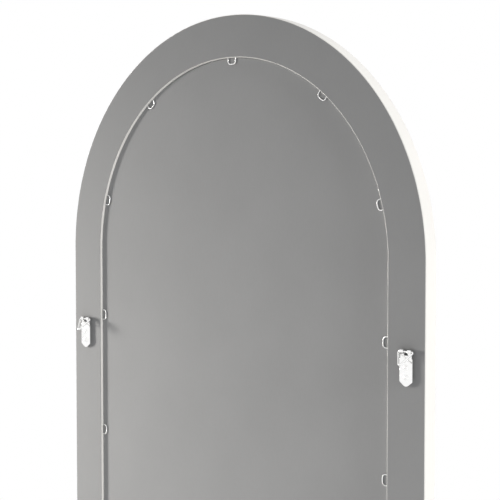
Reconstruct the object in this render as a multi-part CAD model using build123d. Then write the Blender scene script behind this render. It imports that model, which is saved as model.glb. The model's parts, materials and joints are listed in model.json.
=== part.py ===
from build123d import *
import math
import os

# Arched wall mirror, in millimetres.
# X runs to the right seen from the front, Y runs to the rear (towards the wall), Z runs up.
# The finished mirror's origin is the middle of its bottom edge. The pieces are drawn from another point, in the
# frame's rear face, on the centre line, level with the hinges of the hanger rings, and are set in place at the end.

# Driving dimensions of the whole
overall_width = 500.0
overall_height = 1500.0
frame_depth = 17.0
rim_width = 44.4
hinge_below_spring = 83.5

# Frame section
lip_overlap = 8.0
lip_thickness = 7.0
outer_front_round = 1.0
inner_front_round = 2.0

# Layers held in the rebate, from the lip to the rear
tape_thickness = 0.5
tape_edge_gap = 0.6
glass_thickness = 4.0
glass_edge_gap = 1.0
board_thickness = 3.0
board_edge_gap = 0.4

# Grey covering of the rear rim
covering_thickness = 0.4
covering_outer_inset = 0.65
covering_inner_inset = 0.9

# Retaining clips, bent from wire, lying on the board and driven into the rebate wall
clip_spacing_wanted = 133.0
clip_crown_width = 11.6
clip_wire_width = 0.85
clip_reach = 7.0
clip_bite = 9.0
clip_bend_radius = 3.8
clip_wire_thickness = 0.9

# Joints of the frame
dowel_radius = 4.0
dowel_length = 40.0
dowel_spread = 20.0
dowel_depth = 8.5
glue_gap = 0.1
nail_leg = 8.0
nail_sheet = 0.8
nail_height = 10.0
nail_margin = 13.0

# Setting blocks under the glass
block_length = 25.0
block_spread = 200.0

# Hanger strap, one folded sheet
strap_from_edge = 20.5
strap_width = 15.0
strap_sheet = 1.2
strap_below_hinge = 33.5
strap_shoulder_below_hinge = 7.0
strap_shoulder_rise = 0.8
strap_tip_rise = 4.8
strap_tip_round = 5.0
strap_corner_round = 1.5
knuckle_span = 13.4
knuckle_gap = 4.7
knuckle_gap_below_hinge = 3.6
fold_straight = 0.6
fold_slope = 2.2

# Hanger ring, one bent wire
ring_wire_radius = 1.0
ring_running_gap = 0.08
ring_side_gap = 0.35
ring_base_bend = 1.3
ring_tip_bend = 1.8
ring_corner_distance = 17.5
ring_rest_angle = 42.0

# Hanger screws
screw_first_below_hinge = 15.0
screw_pitch = 9.4
screw_head_radius = 2.8
screw_head_height = 1.3
screw_head_round = 0.9
screw_shank_radius = 1.4
screw_bite = 12.0
screw_point = 3.0
screw_hole_gap = 0.2
screw_pilot_gap = 0.05
screw_slot_width = 0.8
screw_slot_length = 3.4
screw_slot_depth = 0.8

# Wall bumpers
bumper_radius = 6.0
bumper_stand_off = 0.4
bumper_round = 0.8

# Places that follow from the sizes above
outer_radius = overall_width / 2
spring_z = hinge_below_spring
bottom_z = spring_z + outer_radius - overall_height
rebate_radius = outer_radius - rim_width
sight_radius = rebate_radius - lip_overlap
rebate_bottom_z = bottom_z + rim_width
sight_bottom_z = rebate_bottom_z + lip_overlap
shelf_y = lip_thickness - frame_depth
tape_y = shelf_y + tape_thickness
glass_y = tape_y + glass_thickness
board_y = glass_y + board_thickness
strap_rear_y = covering_thickness + 2 * strap_sheet
bore_radius = ring_wire_radius + ring_running_gap
knuckle_radius = bore_radius + strap_sheet
hinge_y = covering_thickness + knuckle_radius
strap_x = outer_radius - strap_from_edge


def arch_face(radius, low_z):
    """Face of a straight-sided arch about the spring line, closed by a level bottom edge."""
    left_foot = (-radius, low_z)
    right_foot = (radius, low_z)
    left_spring = (-radius, spring_z)
    right_spring = (radius, spring_z)
    crown = (0, spring_z + radius)
    outline = [
        Line(left_foot, right_foot),
        Line(right_foot, right_spring),
        ThreePointArc(right_spring, crown, left_spring),
        Line(left_spring, left_foot),
    ]
    return make_face(outline)


def layer(face, front_y, rear_y):
    """Flat solid of a face drawn in X and Z, from front_y to rear_y."""
    rear_plane = Plane(origin=(0, rear_y, 0), x_dir=(1, 0, 0), z_dir=(0, -1, 0))
    return extrude(rear_plane * face, rear_y - front_y)


def frame_section():
    """Frame section: first axis inwards from the outer edge, second axis to the rear."""
    sight = rim_width + lip_overlap
    front = -frame_depth
    outline = [
        Line((0, 0), (rim_width, 0)),
        Line((rim_width, 0), (rim_width, shelf_y)),
        Line((rim_width, shelf_y), (sight, shelf_y)),
        Line((sight, shelf_y), (sight, front + inner_front_round)),
        RadiusArc((sight, front + inner_front_round), (sight - inner_front_round, front), inner_front_round),
        Line((sight - inner_front_round, front), (outer_front_round, front)),
        RadiusArc((outer_front_round, front), (0, front + outer_front_round), outer_front_round),
        Line((0, front + outer_front_round), (0, 0)),
    ]
    return make_face(outline)


def frame_arch():
    """Half ring of the frame section, turned about the arch centre."""
    start = Plane(origin=(outer_radius, 0, spring_z), x_dir=(-1, 0, 0), z_dir=(0, 0, -1))
    turning_axis = Axis((0, 0, spring_z), (0, -1, 0))
    return revolve(start * frame_section(), turning_axis, 180)


def mitre_plane(side):
    """Plane through the bottom corner on one side, its normal towards the stile."""
    return Plane(origin=(side * outer_radius, 0, bottom_z), z_dir=(side, 0, 1))


def frame_stile(side):
    """Straight side, from the spring line to the mitre."""
    top = Plane(origin=(side * outer_radius, 0, spring_z), x_dir=(-side, 0, 0), z_dir=(0, 0, -side))
    length = spring_z - bottom_z
    bar = extrude(top * frame_section(), side * length)
    return split(bar, bisect_by=mitre_plane(side), keep=Keep.TOP)


def frame_rail():
    """Bottom rail with a mitre at each end."""
    end = Plane(origin=(-outer_radius, 0, bottom_z), x_dir=(0, 0, 1), z_dir=(-1, 0, 0))
    bar = extrude(end * frame_section(), -overall_width)
    for side in (-1, 1):
        bar = split(bar, bisect_by=mitre_plane(side), keep=Keep.BOTTOM)
    return bar


def clip_stations():
    """Place and turn of each clip along the rebate wall, evenly spaced from the crown of the arch."""
    quarter = rebate_radius * math.pi / 2
    side = spring_z - rebate_bottom_z
    around = 2 * (quarter + side + rebate_radius)
    count = 2 * round(around / clip_spacing_wanted / 2)
    stations = []
    for number in range(-(count // 2) + 1, count // 2 + 1):
        way = abs(number) * around / count
        hand = -1 if number < 0 else 1
        if way < quarter:
            turn = way / rebate_radius
            place = (rebate_radius * math.sin(turn), spring_z + rebate_radius * math.cos(turn))
            stations.append(("arch", hand * place[0], place[1], hand * math.degrees(turn)))
        elif way < quarter + side:
            height = spring_z - (way - quarter)
            name = "left" if hand < 0 else "right"
            stations.append((name, hand * rebate_radius, height, hand * 90))
        else:
            across = rebate_radius - (way - quarter - side)
            stations.append(("bottom", hand * across, rebate_bottom_z, 180))
    return stations


def retaining_clip():
    """One clip at the origin: crown below, legs upwards into the wall, lying on the backing board."""
    length = clip_reach + clip_bite
    outside = Pos(0, clip_bite - length / 2) * Rectangle(clip_crown_width, length)
    crown_corners = outside.vertices().sort_by(Axis.Y)[:2]
    outside = fillet(crown_corners, clip_bend_radius)
    inner_length = length - clip_wire_width
    inner_width = clip_crown_width - 2 * clip_wire_width
    inside = Pos(0, clip_bite - inner_length / 2) * Rectangle(inner_width, inner_length)
    inner_corners = inside.vertices().sort_by(Axis.Y)[:2]
    inside = fillet(inner_corners, clip_bend_radius - clip_wire_width)
    return layer(outside - inside, board_y, board_y + clip_wire_thickness)


def dowels(side):
    """Two dowels across the joint between the arch head and a stile."""
    pins = []
    for offset in (-dowel_spread / 2, dowel_spread / 2):
        x = side * (outer_radius - rim_width / 2 + offset)
        pins.append(Pos(x, -dowel_depth, spring_z) * Cylinder(dowel_radius, dowel_length))
    return pins


def dowel_bores(side):
    """The dowels' bores, wider by the glue gap."""
    bores = []
    for offset in (-dowel_spread / 2, dowel_spread / 2):
        x = side * (outer_radius - rim_width / 2 + offset)
        length = dowel_length + 2 * glue_gap
        bores.append(Pos(x, -dowel_depth, spring_z) * Cylinder(dowel_radius + glue_gap, length))
    return bores


def mitre_nails(side):
    """Two V nails across a bottom mitre, one leg in the stile and one in the rail."""
    nails = []
    for inward in (nail_margin, rim_width - nail_margin):
        x = side * (outer_radius - inward)
        z = bottom_z + inward
        upright = Pos(x, -nail_height / 2, z + nail_leg / 2) * Box(nail_sheet, nail_height, nail_leg)
        level_x = x - side * nail_leg / 2
        level = Pos(level_x, -nail_height / 2, z) * Box(nail_leg, nail_height, nail_sheet)
        corner = Pos(x, -nail_height / 2, z) * Box(nail_sheet, nail_height, nail_sheet)
        nails.append(upright + level + corner)
    return nails


def setting_blocks():
    """Two blocks between the glass and the bottom of the rebate."""
    blocks = []
    for x in (-block_spread / 2, block_spread / 2):
        place = Pos(x, tape_y + glass_thickness / 2, rebate_bottom_z + glass_edge_gap / 2)
        blocks.append(place * Box(block_length, glass_thickness, glass_edge_gap))
    return blocks


def strap_profile():
    """Folded sheet seen from its side: first axis to the rear, second axis upwards from the hinge."""
    low = -strap_below_hinge
    inner_y = covering_thickness + strap_sheet
    flat_z = -(fold_straight + fold_slope)
    lower_layer = make_face(Polyline(
        (covering_thickness, 0), (inner_y, 0), (inner_y, low), (covering_thickness, low), close=True))
    upper_layer = make_face(Polyline(
        (hinge_y + bore_radius, 0),
        (hinge_y + knuckle_radius, 0),
        (hinge_y + knuckle_radius, -fold_straight),
        (strap_rear_y, flat_z),
        (strap_rear_y, low),
        (inner_y, low),
        (inner_y, flat_z),
        (hinge_y + bore_radius, -fold_straight),
        close=True))
    knuckle = Pos(hinge_y, 0) * (Circle(knuckle_radius) - Circle(bore_radius))
    upper_half = Pos(hinge_y, knuckle_radius / 2) * Rectangle(3 * knuckle_radius, knuckle_radius)
    return lower_layer + upper_layer + (knuckle & upper_half)


def strap_outline():
    """Strap seen from the rear: narrow knuckles, a shoulder, and a blunt pointed foot."""
    half = strap_width / 2
    half_knuckle = knuckle_span / 2
    low = -strap_below_hinge
    foot_angle = math.atan2(half, strap_tip_rise)
    point_below = strap_tip_round * (1 / math.sin(foot_angle) - 1)
    outline = make_face(Polyline(
        (-half_knuckle, knuckle_radius),
        (half_knuckle, knuckle_radius),
        (half_knuckle, -strap_shoulder_below_hinge + strap_shoulder_rise),
        (half, -strap_shoulder_below_hinge),
        (half, low + strap_tip_rise),
        (0, low - point_below),
        (-half, low + strap_tip_rise),
        (-half, -strap_shoulder_below_hinge),
        (-half_knuckle, -strap_shoulder_below_hinge + strap_shoulder_rise),
        close=True))
    point = outline.vertices().sort_by(Axis.Y)[0]
    outline = fillet(point, strap_tip_round)
    foot_corners = [v for v in outline.vertices() if abs(v.Y - low - strap_tip_rise) < 0.01]
    outline = fillet(foot_corners, strap_corner_round)
    notch_height = knuckle_radius + knuckle_gap_below_hinge
    notch_middle = (knuckle_radius - knuckle_gap_below_hinge) / 2
    notch = Pos(0, notch_middle) * Rectangle(knuckle_gap, notch_height)
    return outline - notch


def screw_heights():
    """Heights of the screws of one strap."""
    return [-screw_first_below_hinge, -screw_first_below_hinge - screw_pitch]


def along_y(radius, front_y, rear_y, z):
    """Cylinder along Y between two depths."""
    middle = Pos(0, (front_y + rear_y) / 2, z) * Rot(90, 0, 0)
    return middle * Cylinder(radius, rear_y - front_y)


def hanger_strap():
    """Strap on the centre line, with its hinge on the X axis."""
    side_plane = Plane(origin=(-strap_width / 2, 0, 0), x_dir=(0, 1, 0), z_dir=(1, 0, 0))
    sheet = extrude(side_plane * strap_profile(), strap_width)
    strap = sheet & layer(strap_outline(), 0, hinge_y + 2 * knuckle_radius)
    for z in screw_heights():
        strap -= along_y(screw_shank_radius + screw_hole_gap, 0, 2 * strap_rear_y, z)
    return strap


def hanger_ring():
    """Triangular ring on the centre line, turned out from the strap to its rest angle."""
    straight = knuckle_span / 2 + ring_side_gap
    lean = math.atan2(ring_corner_distance, straight)
    for _ in range(20):
        corner_x = straight + ring_base_bend / math.tan(lean / 2)
        lean = math.atan2(ring_corner_distance, corner_x)
    half_tip = math.pi / 2 - lean
    tip_back = ring_tip_bend / math.tan(half_tip)
    arm = (-math.cos(lean), -math.sin(lean))
    base_back = ring_base_bend / math.tan(lean / 2)
    base_end = (straight, 0)
    arm_start = (corner_x + base_back * arm[0], base_back * arm[1])
    arm_end = (-tip_back * arm[0], -ring_corner_distance - tip_back * arm[1])
    tip_middle = (0, -ring_corner_distance + ring_tip_bend * (1 / math.sin(half_tip) - 1))
    bend_middle_angle = (math.pi / 2 - lean) / 2 + math.pi / 4
    bend_middle = (
        straight + ring_base_bend * math.sin(bend_middle_angle),
        -ring_base_bend + ring_base_bend * math.cos(bend_middle_angle),
    )
    half_path = [
        Line((0, 0), base_end),
        ThreePointArc(base_end, bend_middle, arm_start),
        Line(arm_start, arm_end),
    ]
    tip = ThreePointArc(arm_end, tip_middle, (-arm_end[0], arm_end[1]))
    other_half = [mirror(edge, Plane.YZ) for edge in half_path]
    flat = Plane(origin=(0, hinge_y, 0), x_dir=(1, 0, 0), z_dir=(0, -1, 0))
    path = flat * Wire([edge for line in half_path + [tip] + other_half for edge in line.edges()])
    section = Plane(origin=(0, hinge_y, 0), z_dir=(1, 0, 0)) * Circle(ring_wire_radius)
    ring = sweep(section, path)
    return ring.rotate(Axis((0, hinge_y, 0), (1, 0, 0)), ring_rest_angle)


def hanger_screw(z):
    """Domed screw with a cross recess, through the strap into the frame."""
    head_rear = strap_rear_y + screw_head_height
    head = along_y(screw_head_radius, strap_rear_y, head_rear, z)
    rim = head.edges().group_by(Axis.Y)[-1]
    head = fillet(rim, screw_head_round)
    shank = along_y(screw_shank_radius, screw_point - screw_bite, strap_rear_y, z)
    point_middle = Pos(0, screw_point / 2 - screw_bite, z) * Rot(90, 0, 0)
    point = point_middle * Cone(screw_shank_radius, 0.1 * screw_shank_radius, screw_point)
    screw = head + shank + point
    for turn in (0, 90):
        place = Pos(0, head_rear - screw_slot_depth / 2, z) * Rot(0, turn + 45, 0)
        screw -= place * Box(screw_slot_length, screw_slot_depth, screw_slot_width)
    return screw


def screw_bores(radius):
    """Bores for the screws of both straps, through the covering and into the frame."""
    bores = []
    for side in (-1, 1):
        for z in screw_heights():
            bores.append(Pos(side * strap_x, 0, 0) * along_y(radius, -screw_bite, strap_rear_y, z))
    return bores


def wall_bumper(side):
    """Soft round stop on a bottom corner, a little thicker than the hanger."""
    rear_y = hinge_y + knuckle_radius + bumper_stand_off
    x = side * (outer_radius - rim_width / 2)
    z = bottom_z + rim_width / 2
    pad = along_y(bumper_radius, covering_thickness, rear_y, z)
    rim = pad.edges().group_by(Axis.Y)[-1]
    return Pos(x, 0, 0) * fillet(rim, bumper_round)


def build():
    """All nodes of the mirror by name, each a list of solids."""
    clips = {"arch": [], "left": [], "right": [], "bottom": []}
    for place, x, z, turn in clip_stations():
        clips[place].append(Pos(x, 0, z) * Rot(0, turn, 0) * retaining_clip())

    pilots = screw_bores(screw_shank_radius + screw_pilot_gap)
    arch = frame_arch() - clips["arch"] - dowel_bores(-1) - dowel_bores(1)
    nails = {side: mitre_nails(side) for side in (-1, 1)}
    stiles = {}
    for side, name in ((-1, "left"), (1, "right")):
        stiles[name] = frame_stile(side) - clips[name] - dowel_bores(side) - nails[side] - pilots
    rail = frame_rail() - clips["bottom"] - nails[-1] - nails[1]

    covering_face = arch_face(outer_radius - covering_outer_inset, bottom_z + covering_outer_inset)
    covering_face -= arch_face(rebate_radius + covering_inner_inset, rebate_bottom_z - covering_inner_inset)
    covering = layer(covering_face, 0, covering_thickness)
    covering -= screw_bores(screw_shank_radius + screw_hole_gap)

    tape_face = arch_face(rebate_radius - tape_edge_gap, rebate_bottom_z + tape_edge_gap)
    tape_face -= arch_face(sight_radius + tape_edge_gap, sight_bottom_z - tape_edge_gap)
    glass_face = arch_face(rebate_radius - glass_edge_gap, rebate_bottom_z + glass_edge_gap)
    board_face = arch_face(rebate_radius - board_edge_gap, rebate_bottom_z + board_edge_gap)

    nodes = {
        "frame_arch_head": [arch],
        "frame_stile_left": [stiles["left"]],
        "frame_stile_right": [stiles["right"]],
        "frame_bottom_rail": [rail],
        "arch_dowels_left": dowels(-1),
        "arch_dowels_right": dowels(1),
        "mitre_nails_left": nails[-1],
        "mitre_nails_right": nails[1],
        "rear_rim_covering": [covering],
        "shelf_foam_tape": [layer(tape_face, shelf_y, tape_y)],
        "mirror_glass": [layer(glass_face, tape_y, glass_y)],
        "glass_setting_blocks": setting_blocks(),
        "backing_board": [layer(board_face, glass_y, board_y)],
    }
    for name, group in clips.items():
        nodes["retaining_clips_" + name] = group
    for side, name in ((-1, "left"), (1, "right")):
        place = Pos(side * strap_x, 0, 0)
        nodes["hanger_strap_" + name] = [place * hanger_strap()]
        nodes["hanger_ring_" + name] = [place * hanger_ring()]
        nodes["hanger_screws_" + name] = [place * hanger_screw(z) for z in screw_heights()]
        nodes["wall_bumper_" + name] = [wall_bumper(side)]
    return nodes


def main():
    """Set every node on the bottom edge's middle and write one STEP file for each."""
    os.makedirs("parts", exist_ok=True)
    origin_shift = Pos(0, frame_depth / 2, -bottom_z)
    for name, pieces in build().items():
        solids = [origin_shift * solid for piece in pieces for solid in piece.solids()]
        shape = solids[0] if len(solids) == 1 else Compound(children=solids)
        shape.label = name
        export_step(shape, f"parts/{name}.step")


main()
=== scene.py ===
"""Arched wall mirror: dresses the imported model, places its fine pieces and lights it as seen from the rear.

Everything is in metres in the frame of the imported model. X runs to the right seen from the front, Y to the
rear and Z up. The origin is the middle of the frame's bottom edge.
"""

import json
import logging
import math
from collections.abc import Sequence
from dataclasses import dataclass
from enum import Enum

import bmesh
import bpy
import numpy as np
from mathutils import Matrix, Vector

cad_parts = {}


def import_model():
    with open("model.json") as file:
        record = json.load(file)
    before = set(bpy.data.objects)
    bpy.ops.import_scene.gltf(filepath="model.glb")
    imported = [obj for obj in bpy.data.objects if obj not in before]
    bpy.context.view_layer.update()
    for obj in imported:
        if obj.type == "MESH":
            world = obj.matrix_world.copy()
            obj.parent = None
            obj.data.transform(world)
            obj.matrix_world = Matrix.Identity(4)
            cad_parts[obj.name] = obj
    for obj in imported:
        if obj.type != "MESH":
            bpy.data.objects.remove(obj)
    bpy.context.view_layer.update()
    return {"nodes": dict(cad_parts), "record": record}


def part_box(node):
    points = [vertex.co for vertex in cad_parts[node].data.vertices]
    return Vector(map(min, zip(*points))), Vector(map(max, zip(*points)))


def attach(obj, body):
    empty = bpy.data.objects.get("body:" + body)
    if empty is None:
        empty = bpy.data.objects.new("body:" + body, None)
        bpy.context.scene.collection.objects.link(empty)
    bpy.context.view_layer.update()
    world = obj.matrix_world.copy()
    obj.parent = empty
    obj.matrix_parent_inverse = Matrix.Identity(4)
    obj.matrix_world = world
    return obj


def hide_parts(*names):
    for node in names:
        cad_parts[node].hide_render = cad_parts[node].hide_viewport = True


LOG = logging.getLogger("mirror")
MM = 0.001
ROUND_STEPS = 5
MERGE_DISTANCE = 0.0001 * MM

Triple = tuple[float, float, float]
Colour = Triple
Span = tuple[float, float]
Tree = bpy.types.NodeTree
Socket = bpy.types.NodeSocket


class Side(Enum):
    """Side of the mirror seen from the front, with the sign of its X."""

    LEFT = -1
    RIGHT = 1

    @property
    def word(self) -> str:
        """The side's word in node names."""
        return self.name.lower()


class Relief(Enum):
    """Kinds of fine surface relief, by the stretch of their noise along X, Y and Z."""

    EVEN = (1.0, 1.0, 1.0)
    FIBRES = (1.0, 1.0, 0.28)
    ROLLED = (3.0, 3.0, 0.12)
    GRAIN = (14.0, 14.0, 0.7)


def set_inputs(node: bpy.types.Node, values: dict) -> bpy.types.Node:
    """Set a node's inputs to plain values by their names, and return the node."""
    for key, value in values.items():
        node.inputs[key].default_value = value
    return node


def math_node(tree: Tree, operation: str, *values: Socket | float) -> Socket:
    """Result of a Math node.

    Args:
        tree: tree of a material or of the world.
        operation: name of the operation.
        values: sockets or numbers, in order.

    Returns:
        A value socket.
    """
    node = tree.nodes.new("ShaderNodeMath")
    node.operation = operation
    for number, value in enumerate(values):
        if isinstance(value, Socket):
            tree.links.new(value, node.inputs[number])
        else:
            node.inputs[number].default_value = value
    return node.outputs["Value"]


def carried_range(tree: Tree, value: Socket, source: Span, target: Span, smooth: bool = True) -> Socket:
    """A value carried from one range to another.

    Args:
        tree: tree of a material or of the world.
        value: socket of the value.
        source: its range.
        target: the wanted range.
        smooth: ease in and out at the ends.

    Returns:
        A value socket.
    """
    node = tree.nodes.new("ShaderNodeMapRange")
    node.interpolation_type = "SMOOTHSTEP" if smooth else "LINEAR"
    set_inputs(node, {"From Min": source[0], "From Max": source[1], "To Min": target[0], "To Max": target[1]})
    tree.links.new(value, node.inputs["Value"])
    return node.outputs["Result"]


@dataclass(frozen=True)
class Finish:
    """A finish: one colour that varies a little, with its gloss and its fine relief.

    Args:
        name: name of the material.
        colour: linear colour.
        roughness: middle roughness.
        metallic: 1 for bare metal.
        mottle: share by which the colour varies either way.
        mottle_scale: size of that variation, in waves per metre.
        relief: kind of fine relief.
        relief_height: depth of the relief in metres.
        relief_scale: fineness of the relief, in waves per metre.
        roughness_spread: how far the roughness varies either way.
        bounce: share of its colour with which it lights matt surfaces near it; below 1 this paints deeper
            contact shade beside the part.
        coat: weight of a clear coat.
        coat_roughness: roughness of that coat.
        specular: specular level.
        scatter: weight of light scattering under the surface.
        scatter_depth: depth of that scattering.
        fine_share: share of the fine noise in the colour.
        colour_span: noise values between which the colour varies.
        gloss_span: noise values between which the roughness varies.
    """

    name: str
    colour: Colour
    roughness: float
    metallic: float = 0.0
    mottle: float = 0.03
    mottle_scale: float = 18.0
    relief: Relief = Relief.EVEN
    relief_height: float = 0.00001
    relief_scale: float = 900.0
    roughness_spread: float = 0.05
    bounce: float = 1.0
    coat: float = 0.0
    coat_roughness: float = 0.1
    specular: float = 0.5
    scatter: float = 0.0
    scatter_depth: float = 2.0 * MM
    fine_share: float = 0.35
    colour_span: Span = (0.45, 0.9)
    gloss_span: Span = (0.3, 0.7)

    def material(self) -> bpy.types.Material:
        """Build the material.

        Returns:
            A node material whose patterns read Object coordinates.
        """
        made = bpy.data.materials.new(self.name)
        made.use_nodes = True
        tree = made.node_tree
        shader = set_inputs(tree.nodes["Principled BSDF"], {
            "Metallic": self.metallic, "Coat Weight": self.coat, "Coat Roughness": self.coat_roughness,
            "Specular IOR Level": self.specular, "Subsurface Weight": self.scatter,
            "Subsurface Radius": (self.scatter_depth,) * 3})
        place = tree.nodes.new("ShaderNodeTexCoord").outputs["Object"]
        broad = self._noise(tree, place, self.mottle_scale, 4.0, Relief.EVEN)
        fine = self._noise(tree, place, self.relief_scale, 3.0, self.relief)
        colour = self._colour_socket(tree, broad, fine)
        # Below 1, the colour that lights nearby matt surfaces is darkened: painted contact shade beside the
        # part.
        if self.bounce < 1.0:
            colour = self._less_bounce(tree, colour)
        tree.links.new(colour, shader.inputs["Base Color"])
        least = max(0.0, self.roughness - self.roughness_spread)
        gloss = (least, self.roughness + self.roughness_spread)
        rough = carried_range(tree, broad, self.gloss_span, gloss, smooth=False)
        tree.links.new(rough, shader.inputs["Roughness"])
        bump = set_inputs(tree.nodes.new("ShaderNodeBump"), {"Strength": 1.0, "Distance": self.relief_height})
        tree.links.new(fine, bump.inputs["Height"])
        tree.links.new(bump.outputs["Normal"], shader.inputs["Normal"])
        return made

    def _noise(self, tree: Tree, place: Socket, scale: float, detail: float, relief: Relief) -> Socket:
        """A noise in object space, stretched as the relief says.

        Args:
            tree: tree of the material.
            place: socket of the Object coordinates.
            scale: waves per metre.
            detail: octaves of the noise.
            relief: stretch along X, Y and Z.

        Returns:
            The noise's factor socket.
        """
        mapping = set_inputs(tree.nodes.new("ShaderNodeMapping"), {"Scale": relief.value})
        noise = set_inputs(tree.nodes.new("ShaderNodeTexNoise"), {"Scale": scale, "Detail": detail})
        tree.links.new(place, mapping.inputs["Vector"])
        tree.links.new(mapping.outputs["Vector"], noise.inputs["Vector"])
        return noise.outputs["Fac"]

    def _colour_socket(self, tree: Tree, broad: Socket, fine: Socket) -> Socket:
        """The colour, a little darker or lighter by both noises.

        Args:
            tree: tree of the material.
            broad: slow variation.
            fine: relief noise, which darkens the hollows slightly.

        Returns:
            A colour socket.
        """
        both = math_node(tree, "MULTIPLY_ADD", fine, self.fine_share, broad)
        ramp = tree.nodes.new("ShaderNodeValToRGB")
        low, high = ramp.color_ramp.elements
        low.position, high.position = self.colour_span
        low.color = (*[c * (1 - self.mottle) for c in self.colour], 1.0)
        high.color = (*[min(1.0, c * (1 + self.mottle)) for c in self.colour], 1.0)
        tree.links.new(both, ramp.inputs["Fac"])
        return ramp.outputs["Color"]

    def _less_bounce(self, tree: Tree, colour: Socket) -> Socket:
        """The colour, darkened for rays that come from matt surfaces: painted shade that keeps the contact
        shadows beside the part deep.

        Args:
            tree: tree of the material.
            colour: the full colour.

        Returns:
            A colour socket.
        """
        path = tree.nodes.new("ShaderNodeLightPath")
        mix = tree.nodes.new("ShaderNodeMix")
        mix.data_type = "RGBA"
        full, darkened = [socket for socket in mix.inputs if socket.type == "RGBA"]
        darkened.default_value = (*[c * self.bounce for c in self.colour], 1.0)
        tree.links.new(path.outputs["Is Diffuse Ray"], mix.inputs["Factor"])
        tree.links.new(colour, full)
        return next(socket for socket in mix.outputs if socket.type == "RGBA")


@dataclass(frozen=True)
class Finishes:
    """Every finish of the mirror, by the material slot that it dresses."""

    frame_lacquer: Finish = Finish(
        "cream_white_lacquer", (0.86, 0.845, 0.81), 0.34, mottle=0.012, mottle_scale=9.0,
        relief_height=0.000012, relief_scale=420.0, coat=0.25, coat_roughness=0.18)
    rim_covering: Finish = Finish(
        "grey_backing_foil", (0.368, 0.370, 0.375), 0.72, mottle_scale=14.0,
        relief=Relief.FIBRES, relief_height=0.00002, relief_scale=700.0, specular=0.06)
    backing_board: Finish = Finish(
        "grey_faced_hardboard", (0.386, 0.388, 0.393), 0.78, mottle=0.035, mottle_scale=11.0,
        relief=Relief.FIBRES, relief_height=0.00003, relief_scale=520.0, specular=0.05)
    # The metals below take bounce=0.2: the light they pass on to matt surfaces is darkened, which paints
    # deeper contact shade beside them.
    clip_steel: Finish = Finish(
        "zinc_plated_wire", (0.90, 0.90, 0.892), 0.38, metallic=1.0, mottle=0.05, mottle_scale=160.0,
        relief_scale=1600.0, roughness_spread=0.08, bounce=0.2)
    hanger_plate: Finish = Finish(
        "bright_nickel_sheet", (0.965, 0.963, 0.957), 0.10, metallic=1.0, mottle=0.02, mottle_scale=120.0,
        relief=Relief.ROLLED, relief_height=0.000003, relief_scale=1400.0, roughness_spread=0.04, bounce=0.2)
    hanger_wire: Finish = Finish(
        "bright_nickel_wire", (0.95, 0.948, 0.942), 0.12, metallic=1.0, mottle_scale=150.0,
        relief_height=0.000003, relief_scale=1800.0, roughness_spread=0.04, bounce=0.2)
    hanger_screw: Finish = Finish(
        "bright_nickel_screw", (0.955, 0.953, 0.947), 0.13, metallic=1.0, mottle=0.04, mottle_scale=220.0,
        relief_height=0.000004, relief_scale=2200.0, roughness_spread=0.06, bounce=0.2)
    mirror_glass: Finish = Finish(
        "silvered_glass", (0.885, 0.905, 0.90), 0.012, metallic=1.0, mottle=0.004, mottle_scale=3.0,
        relief_height=0.0000002, relief_scale=6.0, roughness_spread=0.004)
    joint_wood: Finish = Finish(
        "beech_dowel", (0.52, 0.33, 0.18), 0.6, mottle=0.22, mottle_scale=90.0,
        relief=Relief.GRAIN, relief_height=0.00008, relief_scale=240.0, roughness_spread=0.1)
    joint_steel: Finish = Finish(
        "bare_nail_steel", (0.50, 0.49, 0.47), 0.38, metallic=1.0, mottle=0.08, mottle_scale=120.0,
        relief=Relief.ROLLED, relief_scale=1200.0)
    foam_tape: Finish = Finish(
        "black_foam_tape", (0.025, 0.025, 0.026), 0.9, mottle=0.2, mottle_scale=300.0,
        relief_height=0.00012, relief_scale=1500.0)
    setting_rubber: Finish = Finish(
        "black_rubber_block", (0.02, 0.02, 0.021), 0.7, mottle=0.12, mottle_scale=200.0,
        relief_height=0.00004)
    bumper_rubber: Finish = Finish(
        "clear_soft_bumper", (0.62, 0.62, 0.60), 0.42, mottle_scale=120.0, relief_height=0.00002,
        scatter=0.35)


class Wardrobe:
    """Makes each finish once and dresses pieces by the record's slots."""

    def __init__(self, record: dict) -> None:
        """Keep the slot of each node.

        Args:
            record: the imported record.
        """
        self.finishes = Finishes()
        self.slots = {part["node"]: part["material_slot"] for part in record["subparts"]}
        self.made: dict[str, bpy.types.Material] = {}

    def dress(self, piece: bpy.types.Object, node: str) -> None:
        """Give a piece the finish of a node.

        Args:
            piece: object to dress.
            node: the node whose slot it takes.
        """
        slot = self.slots[node]
        if slot not in self.made:
            self.made[slot] = getattr(self.finishes, slot).material()
        piece.data.materials.clear()
        piece.data.materials.append(self.made[slot])

    def stand_for(self, piece: bpy.types.Object, node: str, body: str) -> None:
        """Put a new piece in a node's place.

        Args:
            piece: the new piece, already in place.
            node: the node that it stands for.
            body: the body that it rides on.
        """
        self.dress(piece, node)
        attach(piece, body)
        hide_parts(node)
        LOG.info("%s stands for %s on %s", piece.name, node, body)


def grid_faces(rows: int, columns: int, close_rows: bool, close_columns: bool) -> np.ndarray:
    """Quads of a grid of points numbered row by row: each joins (i, j), (i, j+1), (i+1, j+1), (i+1, j).

    Args:
        rows: count of rows.
        columns: count of columns.
        close_rows: join the last row to the first.
        close_columns: join the last column to the first.

    Returns:
        Integer array of shape (quads, 4).
    """
    i, j = np.meshgrid(
        np.arange(rows if close_rows else rows - 1),
        np.arange(columns if close_columns else columns - 1), indexing="ij")
    next_i = (i + 1) % rows
    next_j = (j + 1) % columns
    quad = [i * columns + j, i * columns + next_j, next_i * columns + next_j, next_i * columns + j]
    return np.stack([corner.ravel() for corner in quad], axis=1)


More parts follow.
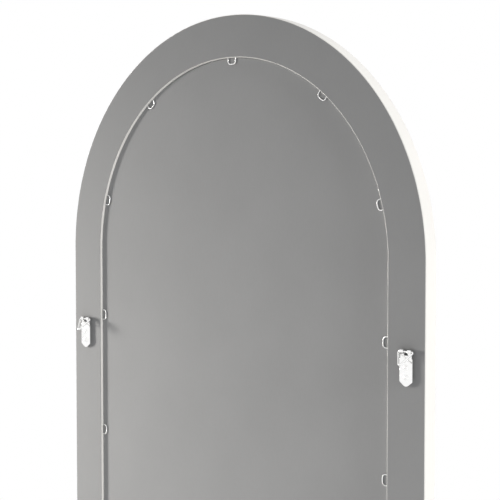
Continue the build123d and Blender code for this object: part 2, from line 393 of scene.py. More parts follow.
def surface(name: str, grids: list[np.ndarray], close_rows: bool = False, close_columns: bool = True,
            caps: bool = True, smooth_angle: float = 35.0,
            sheets: Sequence[np.ndarray] = ()) -> bpy.types.Object:
    """Object made of one or more grids of points with the same closing, and of open sheets that join them.

    Args:
        name: name of the object.
        grids: arrays of shape (rows, columns, 3).
        close_rows: join each grid's last row to its first.
        close_columns: join each grid's last column to its first.
        caps: close the first and last row with one face each.
        smooth_angle: edges sharper than this, in degrees, stay sharp.
        sheets: grids without closing or caps.

    Returns:
        The linked object, at the origin, with its faces pointing outwards.
    """
    faces: list[list[int]] = []
    start = 0
    for number, grid in enumerate([*sheets, *grids]):
        sheet = number < len(sheets)
        rows, columns = grid.shape[:2]
        quads = grid_faces(rows, columns, close_rows and not sheet, close_columns and not sheet)
        faces += (quads + start).tolist()
        if caps and not close_rows and not sheet:
            faces.append(list(range(start + columns - 1, start - 1, -1)))
            last = start + (rows - 1) * columns
            faces.append(list(range(last, last + columns)))
        start += rows * columns
    points = np.concatenate([grid.reshape(-1, 3) for grid in [*sheets, *grids]])
    mesh = bpy.data.meshes.new(name)
    mesh.from_pydata(points.tolist(), [], faces)
    return finished(name, mesh, smooth_angle)


def finished(name: str, mesh: bpy.types.Mesh, smooth_angle: float) -> bpy.types.Object:
    """Merge doubles, turn the faces outwards, smooth all but sharp edges and link the object.

    Args:
        name: name of the object.
        mesh: its mesh.
        smooth_angle: edges sharper than this, in degrees, stay sharp.

    Returns:
        The linked object.
    """
    work = bmesh.new()
    work.from_mesh(mesh)
    bmesh.ops.remove_doubles(work, verts=work.verts, dist=MERGE_DISTANCE)
    bmesh.ops.dissolve_degenerate(work, edges=work.edges, dist=MERGE_DISTANCE / 10)
    bmesh.ops.recalc_face_normals(work, faces=work.faces)
    limit = math.radians(smooth_angle)
    for edge in work.edges:
        edge.smooth = len(edge.link_faces) == 2 and edge.calc_face_angle(0.0) < limit
    for face in work.faces:
        face.smooth = True
    work.to_mesh(mesh)
    work.free()
    mesh.update()
    made = bpy.data.objects.new(name, mesh)
    bpy.context.scene.collection.objects.link(made)
    return made


def rounded_outline(corners: list[Triple], flat_share: float = 0.4,
                    round_steps: int = ROUND_STEPS) -> np.ndarray:
    """Closed outline with each corner turned by an arc.

    Each corner is (a, b, radius). The arc touches both sides at radius / tan(half the inner angle) from the
    corner, and its centre lies on the line that halves the angle. One more point on each side, a share of the
    radius beyond the arc, keeps the sides shaded flat.

    Args:
        corners: the corners in order, with their radii.
        flat_share: distance of the side points from the arc, as a share of the radius, or 0 for none.
        round_steps: points on each arc.

    Returns:
        Array of shape (points, 2).
    """
    given = np.array(corners, float)
    at = given[:, :2]
    radius = given[:, 2:3]
    to_last = np.roll(at, 1, axis=0) - at
    to_next = np.roll(at, -1, axis=0) - at
    to_last /= np.linalg.norm(to_last, axis=1, keepdims=True)
    to_next /= np.linalg.norm(to_next, axis=1, keepdims=True)
    half = np.arccos(np.clip((to_last * to_next).sum(1, keepdims=True), -1, 1)) / 2
    halving = to_last + to_next
    halving /= np.linalg.norm(halving, axis=1, keepdims=True)
    centre = at + halving * radius / np.sin(half)
    first = at + to_last * radius / np.tan(half) - centre
    last = at + to_next * radius / np.tan(half) - centre
    steps = np.linspace(0, 1, round_steps)[None, :, None]
    first_angle = np.arctan2(first[:, 1:2], first[:, 0:1])
    turn = np.arctan2(last[:, 1:2], last[:, 0:1]) - first_angle
    turn = (turn + math.pi) % (2 * math.pi) - math.pi
    angle = first_angle[:, None] + turn[:, None] * steps
    points = centre[:, None] + radius[:, None] * np.concatenate([np.cos(angle), np.sin(angle)], axis=2)
    if flat_share > 0:
        before = points[:, :1] + (to_last * radius * flat_share)[:, None]
        after = points[:, -1:] + (to_next * radius * flat_share)[:, None]
        points = np.concatenate([before, points, after], axis=1)
    return points.reshape(-1, 2)


@dataclass(frozen=True)
class Sizes:
    """Sizes of the mirror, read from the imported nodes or, where they don't show there, repeated here."""

    outer_radius: float
    spring_z: float
    front_y: float
    rear_y: float
    hinge_z: float
    strap_x: float
    rim_width: float = 44.4 * MM
    lip_overlap: float = 8.0 * MM
    lip_thickness: float = 7.0 * MM
    covering_outer_inset: float = 0.65 * MM
    covering_inner_inset: float = 0.9 * MM
    knuckle_radius: float = 2.28 * MM

    @property
    def rebate_radius(self) -> float:
        """Half width of the rebate that holds the board."""
        return self.outer_radius - self.rim_width

    @classmethod
    def from_frame(cls) -> "Sizes":
        """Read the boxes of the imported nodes.

        Returns:
            The sizes.
        """
        arch_low, arch_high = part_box("frame_arch_head")
        strap_low, strap_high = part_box("hanger_strap_right")
        return cls(
            outer_radius=arch_high.x, spring_z=arch_low.z, front_y=arch_low.y, rear_y=arch_high.y,
            hinge_z=strap_high.z - cls.knuckle_radius, strap_x=(strap_low.x + strap_high.x) / 2)


def carried(sizes: Sizes, stretch: np.ndarray, profile: np.ndarray) -> np.ndarray:
    """Carry a profile of (inset, y) along a stretch of the frame's outline.

    Each row of the stretch is (across, spring, foot, rise). A station inset by u from the outer edge lies at
    X = across * (R - u) and Z = spring * S + foot * u + rise * (R - u), with R the outer radius and S the
    height of the spring line.

    Args:
        sizes: sizes of the mirror.
        stretch: array of shape (stations, 4).
        profile: array of shape (points, 2).

    Returns:
        Array of shape (stations, points, 3).
    """
    across, spring, foot, rise = stretch.T[:, :, None]
    inset = profile[None, :, 0]
    left_over = sizes.outer_radius - inset
    x = across * left_over
    z = spring * sizes.spring_z + foot * inset + rise * left_over
    return np.stack([x, np.broadcast_to(profile[None, :, 1], x.shape), z], axis=2)


def arch_stretch(steps: int = 144) -> np.ndarray:
    """The half circle, from the right spring over the crown to the left: X by the cosine, Z by the sine."""
    angle = np.linspace(0, math.pi, steps + 1)
    one = np.ones_like(angle)
    return np.stack([np.cos(angle), one, 0 * one, np.sin(angle)], axis=1)


def stile_stretch(side: Side, steps: int = 24) -> np.ndarray:
    """A straight side, from the mitre up to the spring line."""
    way = np.linspace(0, 1, steps + 1)
    one = np.ones_like(way)
    return np.stack([side.value * one, way, 1 - way, 0 * one], axis=1)


def rail_stretch(steps: int = 12) -> np.ndarray:
    """The bottom rail, from the left mitre to the right one."""
    way = np.linspace(-1, 1, steps + 1)
    one = np.ones_like(way)
    return np.stack([way, 0 * one, one, 0 * one], axis=1)


def whole_outline() -> np.ndarray:
    """The closed outline: rail, right side, arch and left side."""
    left_down = stile_stretch(Side.LEFT)[::-1]
    return np.concatenate([rail_stretch(), stile_stretch(Side.RIGHT), arch_stretch(), left_down])


@dataclass
class Assembly:
    """A sub-assembly of the mirror.

    Args:
        sizes: sizes of the mirror.
        wardrobe: finishes by slot.
    """

    sizes: Sizes
    wardrobe: Wardrobe


@dataclass
class LacqueredFrame(Assembly):
    """The four lacquered members: arch head, two stiles and the bottom rail.

    Args:
        outer_round: radius of the outer front edge.
        sight_round: radius of the edge round the glass.
        rear_round: radius of the two rear edges.
        shelf_round: radius of the edges of the shelf under the glass.
    """

    outer_round: float = 1.0 * MM
    sight_round: float = 2.0 * MM
    rear_round: float = 0.45 * MM
    shelf_round: float = 0.1 * MM

    def profile(self) -> np.ndarray:
        """Section of a member as (inset, y): flat front, lip over the glass, rebate from the rear."""
        s = self.sizes
        sight = s.rim_width + s.lip_overlap
        shelf = s.front_y + s.lip_thickness
        return rounded_outline([
            (0, s.rear_y, self.rear_round),
            (s.rim_width, s.rear_y, self.rear_round),
            (s.rim_width, shelf, self.shelf_round),
            (sight, shelf, self.shelf_round),
            (sight, s.front_y, self.sight_round),
            (0, s.front_y, self.outer_round),
        ])

    def build(self) -> None:
        """Make the four members and put them in their nodes' places."""
        members = {
            "frame_arch_head": arch_stretch(),
            "frame_stile_left": stile_stretch(Side.LEFT),
            "frame_stile_right": stile_stretch(Side.RIGHT),
            "frame_bottom_rail": rail_stretch(),
        }
        for node, stretch in members.items():
            grid = carried(self.sizes, stretch, self.profile())
            self.wardrobe.stand_for(surface(node + "_lacquered", [grid]), node, "mirror")


@dataclass
class RearCovering(Assembly):
    """The grey covering of the rear rim, a thin skin that stops short of both edges.

    Args:
        edge_round: radius of the skin's edges.
        buried_round: radius of the edges on the wood.
    """

    edge_round: float = 0.12 * MM
    buried_round: float = 0.01 * MM

    def build(self) -> None:
        """Carry the skin's flat section round the whole outline."""
        s = self.sizes
        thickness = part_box("rear_rim_covering")[1].y - s.rear_y
        outer = s.covering_outer_inset
        inner = s.rim_width - s.covering_inner_inset
        top = s.rear_y + thickness
        profile = rounded_outline([
            (outer, top, self.edge_round), (inner, top, self.edge_round),
            (inner, s.rear_y, self.buried_round), (outer, s.rear_y, self.buried_round)])
        grid = carried(s, whole_outline(), profile)
        made = surface("rear_covering_skin", [grid], close_rows=True)
        self.wardrobe.stand_for(made, "rear_rim_covering", "mirror")


@dataclass
class FlatPanes(Assembly):
    """The silvered glass and the grey backing board, two arched plates.

    Args:
        glass_arris: width of the glass's ground edge.
        board_arris: width of the board's broken edge.
        rings: rings of points from the edge to the middle.
    """

    glass_arris: float = 0.6 * MM
    board_arris: float = 0.15 * MM
    rings: int = 6

    def plate(self, name: str, node: str, arris: float) -> bpy.types.Object:
        """An arched plate: its edge section is carried round and drawn in to the line from the arch's centre
        to the middle of the bottom, where the two faces close.

        Args:
            name: name of the object.
            node: node whose box gives the size.
            arris: width of the broken edges.

        Returns:
            The plate.
        """
        low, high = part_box(node)
        edge = self.sizes.outer_radius - high.x
        rings = edge + (self.sizes.outer_radius - edge) * np.linspace(0, 1, self.rings + 1)[1:]
        front = np.stack([rings[::-1], np.full(len(rings), low.y)], axis=1)
        rear = np.stack([rings, np.full(len(rings), high.y)], axis=1)
        sides = np.array([
            (edge + arris, low.y), (edge, low.y + arris), (edge, high.y - arris), (edge + arris, high.y)])
        profile = np.concatenate([front, sides, rear])
        grid = carried(self.sizes, whole_outline(), profile)
        return surface(name, [grid], close_rows=True, close_columns=False, caps=False, smooth_angle=20.0)

    def build(self) -> None:
        """Make both plates."""
        glass = self.plate("silvered_glass_pane", "mirror_glass", self.glass_arris)
        self.wardrobe.stand_for(glass, "mirror_glass", "mirror")
        board = self.plate("grey_board_panel", "backing_board", self.board_arris)
        self.wardrobe.stand_for(board, "backing_board", "mirror")


def planar_sweep(path: np.ndarray, profile: np.ndarray, closed: bool) -> np.ndarray:
    """Carry a section along a path in the XZ plane.

    The section's first axis follows the path's normal, which is its direction turned a quarter turn, and its
    second axis is Y. The direction at a point runs from the point before it to the point after it.

    Args:
        path: array of shape (points, 2) of X and Z.
        profile: array of shape (points, 2) of distances along the normal and along Y.
        closed: whether the path joins up.

    Returns:
        Array of shape (path points, profile points, 3).
    """
    if closed:
        direction = np.roll(path, -1, axis=0) - np.roll(path, 1, axis=0)
    else:
        direction = np.gradient(path, axis=0)
    direction /= np.linalg.norm(direction, axis=1, keepdims=True)
    normal = np.stack([-direction[:, 1], direction[:, 0]], axis=1)
    flat = path[:, None] + normal[:, None] * profile[None, :, :1]
    y = np.broadcast_to(profile[None, :, 1], flat.shape[:2])
    return np.stack([flat[..., 0], y, flat[..., 1]], axis=2)


@dataclass
class RetainingClips(Assembly):
    """The bent wire clips that lie on the board and hold it, evenly spaced round the rebate wall.

    Args:
        spacing: wished distance along the wall.
        crown_width: outer width of a clip.
        wire_width: width of the wire in the plane of the board.
        reach: how far the crown stands in from the wall.
        bite: length of the legs in the wood.
        bend: outer radius of the bends.
        edge_round: radius of the wire's own edges.
        bend_points: points on each bend.
    """

    spacing: float = 133.0 * MM
    crown_width: float = 11.6 * MM
    wire_width: float = 0.85 * MM
    reach: float = 7.0 * MM
    bite: float = 9.0 * MM
    bend: float = 3.8 * MM
    edge_round: float = 0.25 * MM
    bend_points: int = 13

    def centre_line(self) -> np.ndarray:
        """Path of the wire in a clip's own X and Z: leg down, bend, crown, bend, leg up.

        Each bend is a quarter circle whose angle runs from 0 to 90 degrees about the bend's centre.
        """
        half = (self.crown_width - self.wire_width) / 2
        radius = self.bend - self.wire_width / 2
        crown_z = -self.reach + self.wire_width / 2
        angle = np.linspace(0, math.pi / 2, self.bend_points)
        bend_x = half - radius + radius * np.cos(angle)
        bend_z = crown_z + radius - radius * np.sin(angle)
        right = np.concatenate([[[half, self.bite]], np.stack([bend_x, bend_z], axis=1)])
        left = right[::-1] * np.array([-1, 1])
        return np.concatenate([right, left])

    def clip(self) -> np.ndarray:
        """Grid of one clip in its own place, with the wall at Z = 0 and the wood above it."""
        low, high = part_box("retaining_clips_arch")
        half = self.wire_width / 2
        section = rounded_outline([
            (-half, low.y, self.edge_round), (half, low.y, self.edge_round),
            (half, high.y, self.edge_round), (-half, high.y, self.edge_round)])
        return planar_sweep(self.centre_line(), section, closed=False)

    def stations(self) -> dict[str, list[Triple]]:
        """Place and turn of each clip by stretch of the wall, evenly spaced from the crown of the arch."""
        radius = self.sizes.rebate_radius
        spring = self.sizes.spring_z
        quarter = radius * math.pi / 2
        side = spring - self.sizes.rim_width
        around = 2 * (quarter + side + radius)
        count = 2 * round(around / self.spacing / 2)
        found = {stretch: [] for stretch in ("arch", "left", "right", "bottom")}
        for number in range(-(count // 2) + 1, count // 2 + 1):
            way = abs(number) * around / count
            hand = Side.LEFT if number < 0 else Side.RIGHT
            if way < quarter:
                turn = hand.value * way / radius
                found["arch"].append((radius * math.sin(turn), spring + radius * math.cos(turn), turn))
            elif way < quarter + side:
                quarter_turn = hand.value * math.pi / 2
                found[hand.word].append((hand.value * radius, spring + quarter - way, quarter_turn))
            else:
                across = hand.value * (radius + quarter + side - way)
                found["bottom"].append((across, self.sizes.rim_width, math.pi))
        return found

    def build(self) -> None:
        """Make one piece of clips for each stretch of the wall."""
        clip = self.clip()
        for stretch, places in self.stations().items():
            grids = []
            for x, z, turn in places:
                placed = clip.copy()
                placed[..., 0] = x + clip[..., 0] * math.cos(turn) + clip[..., 2] * math.sin(turn)
                placed[..., 2] = z - clip[..., 0] * math.sin(turn) + clip[..., 2] * math.cos(turn)
                grids.append(placed)
            made = surface(f"wire_clips_{stretch}", grids)
            self.wardrobe.stand_for(made, f"retaining_clips_{stretch}", "mirror")


@dataclass
class Hanger(Assembly):
    """One hanger: its folded strap, its wire ring and its two screws.

    The fields below the side are the rolling of the strap's edges, the ring's wire, bends and angle, and the
    places, heads, cross recesses and threads of the screws.

    Args:
        side: side of the mirror.
    """

    side: Side
    strap_edge: float = 0.22 * MM
    strap_edge_steps: int = 3
    strap_edge_angle: float = math.radians(40.0)
    strap_merge: float = 0.001 * MM
    strap_flat_angle: float = math.radians(1.0)
    hinge_above_rear: float = 2.68 * MM
    wire_radius: float = 1.0 * MM
    ring_half_straight: float = 7.05 * MM
    ring_base_bend: float = 1.3 * MM
    ring_tip_bend: float = 1.8 * MM
    ring_corner_distance: float = 17.5 * MM
    ring_rest_angle: float = math.radians(42.0)
    ring_lean_rounds: int = 20
    wire_sides: int = 24
    screw_drops: tuple[float, float] = (15.0 * MM, 24.4 * MM)
    strap_above_rear: float = 2.8 * MM
    head_radius: float = 2.8 * MM
    head_height: float = 1.3 * MM
    head_edge: float = 0.25 * MM
    head_flat_share: float = 0.3
    head_rings: int = 6
    core_radius: float = 1.05 * MM
    thread_radius: float = 1.4 * MM
    thread_pitch: float = 1.25 * MM
    screw_bite: float = 12.0 * MM
    point_length: float = 3.0 * MM
    shank_rows: int = 89
    thread_power: int = 3
    seat_edge: float = 0.1 * MM
    seat_share: float = 0.97
    recess_half_width: float = 0.42 * MM
    recess_half_length: float = 1.7 * MM
    recess_depth: float = 0.7 * MM
    recess_wall: float = 0.08 * MM

    @property
    def middle_x(self) -> float:
        """X of the hanger's middle."""
        return self.side.value * self.sizes.strap_x

    def strap(self) -> None:
        """The strap's own solid with its edges rounded over, as pressed sheet has them."""
        node = f"hanger_strap_{self.side.word}"
        source = bpy.data.objects[node].data.copy()
        work = bmesh.new()
        work.from_mesh(source)
        bmesh.ops.remove_doubles(work, verts=work.verts, dist=self.strap_merge)
        bmesh.ops.dissolve_limit(work, angle_limit=self.strap_flat_angle, verts=work.verts, edges=work.edges)
        work.to_mesh(source)
        work.free()
        made = finished(f"pressed_strap_{self.side.word}", source, 25.0)
        bevel = made.modifiers.new("rolled_edges", "BEVEL")
        bevel.width = self.strap_edge
        bevel.segments = self.strap_edge_steps
        bevel.limit_method = "ANGLE"
        bevel.angle_limit = self.strap_edge_angle
        bevel.harden_normals = True
        self.wardrobe.stand_for(made, node, "mirror")

    def ring_path(self) -> np.ndarray:
        """Centre line of the ring in X and Z about the hinge, base bar on top and point below.

        The ring is a triangle with rounded corners. Its arms lean so that the base bends start where the
        straight bar ends: corner X = straight + bend / tan(half the lean), with the lean found by repetition.
        """
        corner = self.ring_half_straight
        for _ in range(self.ring_lean_rounds):
            lean = math.atan2(self.ring_corner_distance, corner)
            corner = self.ring_half_straight + self.ring_base_bend / math.tan(lean / 2)
        corners = [
            (corner, 0.0, self.ring_base_bend),
            (0.0, -self.ring_corner_distance, self.ring_tip_bend),
            (-corner, 0.0, self.ring_base_bend),
        ]
        return rounded_outline(corners, flat_share=0.0, round_steps=3 * ROUND_STEPS)

    def ring(self) -> None:
        """The wire ring: a round section carried round the path, then turned out about the hinge.

        A point (y, z) from the hinge goes to (y cos a - z sin a, y sin a + z cos a), with a the rest angle.
        """
        around = np.linspace(0, 2 * math.pi, self.wire_sides, endpoint=False)
        section = self.wire_radius * np.stack([np.cos(around), np.sin(around)], axis=1)
        flat = planar_sweep(self.ring_path(), section, closed=True)
        cos, sin = math.cos(self.ring_rest_angle), math.sin(self.ring_rest_angle)
        x = self.middle_x + flat[..., 0]
        y = self.sizes.rear_y + self.hinge_above_rear + flat[..., 1] * cos - flat[..., 2] * sin
        z = self.sizes.hinge_z + flat[..., 1] * sin + flat[..., 2] * cos
        made = surface(f"wire_ring_{self.side.word}", [np.stack([x, y, z], axis=2)], close_rows=True)
        self.wardrobe.stand_for(made, f"hanger_ring_{self.side.word}", f"ring_{self.side.word}")

    def head_grid(self, drop: float) -> np.ndarray:
        """The head's top, a square grid bent to a disc whose lines follow the walls of the cross recess.

        Grid lines keep their places inside the recess's square. Outside it a point moves smoothly from the
        square to the circle at the same angle. The dome's height is an edge height plus a quarter ellipse.
        The recess is a cross turned by 45 degrees: a point is cut where it lies within the half width of one
        arm and the half length along it.

        Args:
            drop: distance of the screw below the hinge.

        Returns:
            Array of shape (lines, lines, 3).
        """
        wide, long, wall = self.recess_half_width, self.recess_half_length, self.recess_wall
        inner = [0.0, wide - wall, wide, 2 * wide, 0.65 * long, long - wall, long, long + wall]
        outer = np.linspace(long + wall, self.head_radius, self.head_rings + 1)[1:]
        half = np.concatenate([inner, outer])
        line = np.concatenate([-half[:0:-1], half])
        u, v = np.meshgrid(line, line, indexing="ij")
        square = np.maximum(np.abs(u), np.abs(v))
        reach = np.maximum(np.hypot(u, v), 1e-9)
        share = np.clip((square - long - wall) / (self.head_radius - long - wall), 0, 1)
        squeeze = (1 - share) + share * square / reach
        u_round = u * squeeze
        v_round = v * squeeze
        radius = np.hypot(u_round, v_round)
        flat = self.head_flat_share
        falling = np.clip((radius / self.head_radius - flat) / (1 - flat), 0, 1)
        dome = self.head_edge + (self.head_height - self.head_edge) * np.sqrt(1 - falling ** 2)
        in_u = np.clip((wide - np.abs(v)) / wall, 0, 1) * np.clip((long - np.abs(u)) / wall, 0, 1)
        in_v = np.clip((wide - np.abs(u)) / wall, 0, 1) * np.clip((long - np.abs(v)) / wall, 0, 1)
        y = self.sizes.rear_y + self.strap_above_rear + dome - self.recess_depth * np.maximum(in_u, in_v)
        eighth = math.sqrt(0.5)
        x = self.middle_x + (u_round - v_round) * eighth
        z = self.sizes.hinge_z - drop + (u_round + v_round) * eighth
        return np.stack([x, y, z], axis=2)

    def shank_grid(self, top: np.ndarray, drop: float) -> np.ndarray:
        """The rest of a screw: rows carried down from the rim of the head, each at the rim's own angles.

        The thread lifts the core's radius by a wave that climbs one pitch in a turn. All taper to the point.

        Args:
            top: grid of the head's top.
            drop: distance of the screw below the hinge.

        Returns:
            Array of shape (rows, angles, 3).
        """
        rim = np.concatenate([top[:-1, 0], top[-1, :-1], top[:0:-1, -1], top[0, :0:-1]])
        middle = np.array([self.middle_x, 0.0, self.sizes.hinge_z - drop])
        spoke = (rim - middle)[:, (0, 2)]
        angle = np.arctan2(spoke[:, 1], spoke[:, 0])
        seat = self.sizes.rear_y + self.strap_above_rear
        length = self.screw_bite + self.strap_above_rear
        depth = np.linspace(0, length, self.shank_rows + 1)[1:, None]
        to_point = np.clip((length - depth) / self.point_length, 0, 1)
        wave = 0.5 + 0.5 * np.cos(angle[None] - 2 * math.pi * depth / self.thread_pitch)
        started = np.clip((depth - self.strap_above_rear) / self.thread_pitch, 0, 1)
        thread = started * wave ** self.thread_power
        core = self.core_radius + (self.thread_radius - self.core_radius) * thread
        under = np.array([
            [self.head_radius, self.seat_edge], [self.seat_share * self.head_radius, 0.0],
            [self.core_radius, 0.0]])
        radius = np.concatenate([under[:, :1] * np.ones_like(angle), to_point * core])
        y = np.concatenate([seat + under[:, 1:] * np.ones_like(angle), seat - depth * np.ones_like(angle)])
        rows = np.stack([middle[0] + radius * np.cos(angle), y, middle[2] + radius * np.sin(angle)], axis=2)
        return np.concatenate([rim[None], rows])

    def screws(self) -> None:
        """Both screws as one piece."""
        tops = [self.head_grid(drop) for drop in self.screw_drops]
        shanks = [self.shank_grid(top, drop) for top, drop in zip(tops, self.screw_drops)]
        name = f"domed_screws_{self.side.word}"
        made = surface(name, shanks, caps=False, smooth_angle=40.0, sheets=tops)
        self.wardrobe.stand_for(made, f"hanger_screws_{self.side.word}", "mirror")

    def build(self) -> None:
        """Make the strap, the ring and the screws."""
        self.strap()
        self.ring()
        self.screws()


@dataclass
class WallBumper(Assembly):
    """A soft round stop on a bottom corner.

    Args:
        side: side of the mirror.
        shoulder: radius of the shoulder.
        foot_flare: how far the foot spreads.
        taper_share: share of that spread on the wall above the foot.
        sides: points round the axis.
        shoulder_points: points on the shoulder.
        face_rings: rings of points on the face.
    """

    side: Side
    shoulder: float = 1.4 * MM
    foot_flare: float = 0.35 * MM
    taper_share: float = 0.4
    sides: int = 48
    shoulder_points: int = 9
    face_rings: int = 4

    def build(self) -> None:
        """Turn the bumper's side line about its axis: foot, tapered wall, round shoulder, flat face."""
        node = f"wall_bumper_{self.side.word}"
        low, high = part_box(node)
        radius = (high.x - low.x) / 2
        turn = np.linspace(0, math.pi / 2, self.shoulder_points)
        face_radius = radius - self.foot_flare - self.shoulder
        shoulder_r = face_radius + self.shoulder * np.cos(turn)
        shoulder_y = high.y - self.shoulder + self.shoulder * np.sin(turn)
        face_r = np.linspace(face_radius, 0, self.face_rings + 1)[1:]
        face_y = np.full(self.face_rings, high.y)
        wall_radius = radius - self.foot_flare * self.taper_share
        line_r = np.concatenate([[0, radius, wall_radius], shoulder_r, face_r])
        line_y = np.concatenate([[low.y, low.y, low.y + self.foot_flare], shoulder_y, face_y])
        angle = np.linspace(0, 2 * math.pi, self.sides, endpoint=False)
        x = (low.x + high.x) / 2 + line_r[:, None] * np.cos(angle)
        z = (low.z + high.z) / 2 + line_r[:, None] * np.sin(angle)
        y = line_y[:, None] * np.ones_like(angle)
        made = surface(f"soft_bumper_{self.side.word}", [np.stack([x, y, z], axis=2)], caps=False)
        self.wardrobe.stand_for(made, node, "mirror")


@dataclass(frozen=True)
class Lamp:
    """A rectangular lamp.

    Args:
        name: name of the lamp.
        power: power in watts.
        place: place from the middle of the spring line, at the rear face.
        aim: point that it faces, from the same place.
        width: width of the lamp.
        height: height of the lamp.
        spread: angle of its beam.
        in_gloss: whether shiny surfaces reflect it.
        colour: linear colour.
    """

    name: str
    power: float
    place: Triple
    aim: Triple
    width: float
    height: float
    spread: float = math.pi
    in_gloss: bool = True
    colour: Colour = (1.0, 1.0, 1.0)


@dataclass
class Studio:
    """Floor, surroundings, lamps and camera.

    Args:
        sizes: sizes of the mirror.
        ambient: strength of the even light all round.
        dim_side: brightness in front of the mirror, as gloss shows it.
        lamps: the lamps.
        camera_place: place of the camera, given as a lamp's is.
        camera_yaw: turn of the camera away from looking straight at the rear face.
        camera_pitch: rise of the camera's view above the horizon.
        lens: focal length in millimetres.
        sensor: width of the sensor in millimetres.
        dim_height: Z of direction between which that side dims.
        dim_depth: Y of direction between which the dimming ends.
        floor_radius: radius of the round floor.
        floor_drop: how far it lies below the frame.
        floor_colour: its paint.
        floor_roughness: roughness of that paint.
        floor_glow: even brightness that the floor adds to what falls on it.
        floor_fade: shares of its radius between which it fades out.
        floor_points: rings and spokes of its mesh.
    """

    sizes: Sizes
    ambient: float = 0.29
    dim_side: float = 0.42
    lamps: tuple[Lamp, ...] = (
        Lamp("grazing_key", 14.6, (2.772, 0.712, -0.133), (1.317, 0.0, -0.201), 0.4, 0.9, spread=0.546,
             colour=(1.0, 0.97, 0.92)),
        Lamp("wall_light", 50.0, (-2.9, 0.16, 0.6), (0.0, 0.0, -0.1), 0.12, 1.2, in_gloss=False),
        Lamp("front_light", 17.0, (-1.1, -2.3, 0.7), (0.0, 0.0, -0.4), 1.4, 1.4, in_gloss=False),
        Lamp("far_front_light", 14.0, (1.1, -2.4, 0.3), (0.0, 0.0, -0.4), 1.4, 1.4, in_gloss=False),
        Lamp("crown_light", 22.0, (0.25, -0.35, 2.3), (0.0, -0.01, 0.2), 0.5, 0.3, in_gloss=False),
    )
    camera_place: Triple = (-1.00809, 1.07121, 0.08104)
    camera_yaw: float = math.radians(-42.47)
    camera_pitch: float = math.radians(-2.98)
    lens: float = 100.78
    sensor: float = 36.0
    dim_height: Span = (-0.12, 0.22)
    dim_depth: Span = (-0.9, -0.2)
    floor_radius: float = 3.0
    floor_drop: float = 0.05 * MM
    floor_colour: Colour = (0.86, 0.86, 0.85)
    floor_roughness: float = 0.8
    floor_glow: float = 0.4
    floor_fade: Span = (0.45, 0.97)
    floor_points: tuple[int, int] = (13, 96)

    def from_spring(self, offset: Triple) -> Vector:
        """A point given from the middle of the spring line at the rear face."""
        return Vector((0.0, self.sizes.rear_y, self.sizes.spring_z)) + Vector(offset)

    def camera(self) -> None:
        """The camera at the photograph's angle, without shift."""
        data = bpy.data.cameras.new("camera")
        data.lens = self.lens
        data.sensor_width = self.sensor
        made = bpy.data.objects.new("camera", data)
        forward = Vector((
            -math.sin(self.camera_yaw) * math.cos(self.camera_pitch),
            -math.cos(self.camera_yaw) * math.cos(self.camera_pitch),
            math.sin(self.camera_pitch)))
        turn = forward.to_track_quat("-Z", "Y").to_matrix().to_4x4()
        made.matrix_world = Matrix.Translation(self.from_spring(self.camera_place)) @ turn
        bpy.context.scene.collection.objects.link(made)
        bpy.context.scene.camera = made

    def light(self, lamp: Lamp) -> None:
        """Place one lamp, turned to its aim.

        Args:
            lamp: the lamp.
        """
        data = bpy.data.lights.new(lamp.name, "AREA")
        data.shape = "RECTANGLE"
        data.size = lamp.width
        data.size_y = lamp.height
        data.spread = lamp.spread
        data.energy = lamp.power
        data.color = lamp.colour
        made = bpy.data.objects.new(lamp.name, data)
        place = self.from_spring(lamp.place)
        facing = self.from_spring(lamp.aim) - place
        made.matrix_world = Matrix.Translation(place) @ facing.to_track_quat("-Z", "Y").to_matrix().to_4x4()
        made.visible_camera = False
        made.visible_glossy = lamp.in_gloss
        bpy.context.scene.collection.objects.link(made)

    def surroundings(self) -> None:
        """White to the camera, plain even light on matt surfaces, and in gloss a white room with a dim front.

        In front, where directions point to -Y, the brightness falls smoothly with height from white at the
        horizon to dim_side above. The loss is the share by height times the share by depth.
        """
        world = bpy.data.worlds.new("white_room")
        bpy.context.scene.world = world
        world.use_nodes = True
        tree = world.node_tree
        white = (1.0, 1.0, 1.0, 1.0)
        plain = set_inputs(tree.nodes["Background"], {"Color": white, "Strength": self.ambient})
        shown = set_inputs(tree.nodes.new("ShaderNodeBackground"), {"Color": white})
        direction = tree.nodes.new("ShaderNodeSeparateXYZ")
        tree.links.new(tree.nodes.new("ShaderNodeTexCoord").outputs["Generated"], direction.inputs[0])
        height = carried_range(tree, direction.outputs["Z"], self.dim_height, (0.0, 1.0 - self.dim_side))
        front = carried_range(tree, direction.outputs["Y"], self.dim_depth, (1.0, 0.0))
        left_over = math_node(tree, "SUBTRACT", 1.0, math_node(tree, "MULTIPLY", height, front))
        ray = tree.nodes.new("ShaderNodeLightPath").outputs
        strength = math_node(tree, "MAXIMUM", left_over, ray["Is Camera Ray"])
        tree.links.new(strength, shown.inputs["Strength"])
        direct = math_node(tree, "MAXIMUM", ray["Is Camera Ray"], ray["Is Glossy Ray"])
        direct = math_node(tree, "MAXIMUM", direct, ray["Is Transmission Ray"])
        self.mix_into(tree, direct, plain.outputs["Background"], shown.outputs["Background"], "World Output")

    @staticmethod
    def mix_into(tree: Tree, factor: Socket, first: Socket, second: Socket, output: str) -> None:
        """Mix two shaders by a factor into an output node's surface."""
        mix = tree.nodes.new("ShaderNodeMixShader")
        tree.links.new(factor, mix.inputs["Fac"])
        tree.links.new(first, mix.inputs[1])
        tree.links.new(second, mix.inputs[2])
        tree.links.new(mix.outputs["Shader"], tree.nodes[output].inputs["Surface"])

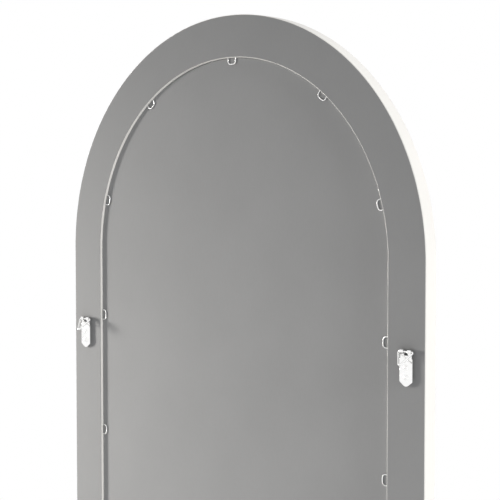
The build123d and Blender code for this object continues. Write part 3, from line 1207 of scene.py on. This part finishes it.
    def floor(self) -> None:
        """A round pale floor that fades into the white at its rim."""
        rings, spokes = self.floor_points
        angle = np.linspace(0, 2 * math.pi, spokes, endpoint=False)
        radius = self.floor_radius * np.linspace(0, 1, rings)[:, None]
        x = radius * np.cos(angle)
        y = radius * np.sin(angle)
        grid = np.stack([x, y, np.full_like(x, -self.floor_drop)], axis=2)
        made = surface("pale_floor", [grid], caps=False)
        made.data.materials.append(self.floor_material())

    def floor_material(self) -> bpy.types.Material:
        """Pale matt paint with an even glow that keeps it near white, clear towards the rim."""
        made = bpy.data.materials.new("pale_floor")
        made.use_nodes = True
        tree = made.node_tree
        shader = set_inputs(tree.nodes["Principled BSDF"], {
            "Base Color": (*self.floor_colour, 1.0), "Roughness": self.floor_roughness,
            "Emission Color": (1.0, 1.0, 1.0, 1.0), "Emission Strength": self.floor_glow})
        place = tree.nodes.new("ShaderNodeTexCoord")
        length = tree.nodes.new("ShaderNodeVectorMath")
        length.operation = "LENGTH"
        tree.links.new(place.outputs["Object"], length.inputs[0])
        rim = tuple(share * self.floor_radius for share in self.floor_fade)
        fade = carried_range(tree, length.outputs["Value"], rim, (0.0, 1.0))
        clear = tree.nodes.new("ShaderNodeBsdfTransparent")
        self.mix_into(tree, fade, shader.outputs["BSDF"], clear.outputs["BSDF"], "Material Output")
        return made

    def build(self) -> None:
        """Set the camera, the lamps, the surroundings and the floor."""
        self.camera()
        for lamp in self.lamps:
            self.light(lamp)
        self.surroundings()
        self.floor()
        bpy.context.scene.view_settings.view_transform = "Standard"


def main() -> None:
    """Load the frame, build the studio and the pieces in order."""
    logging.basicConfig(level=logging.INFO, format="%(name)s: %(message)s")
    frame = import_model()
    sizes = Sizes.from_frame()
    wardrobe = Wardrobe(frame["record"])
    for node, piece in frame["nodes"].items():
        wardrobe.dress(piece, node)
    Studio(sizes).build()
    LacqueredFrame(sizes, wardrobe).build()
    RearCovering(sizes, wardrobe).build()
    FlatPanes(sizes, wardrobe).build()
    RetainingClips(sizes, wardrobe).build()
    for side in Side:
        Hanger(sizes, wardrobe, side).build()
        WallBumper(sizes, wardrobe, side).build()


if __name__ == "__main__":
    main()
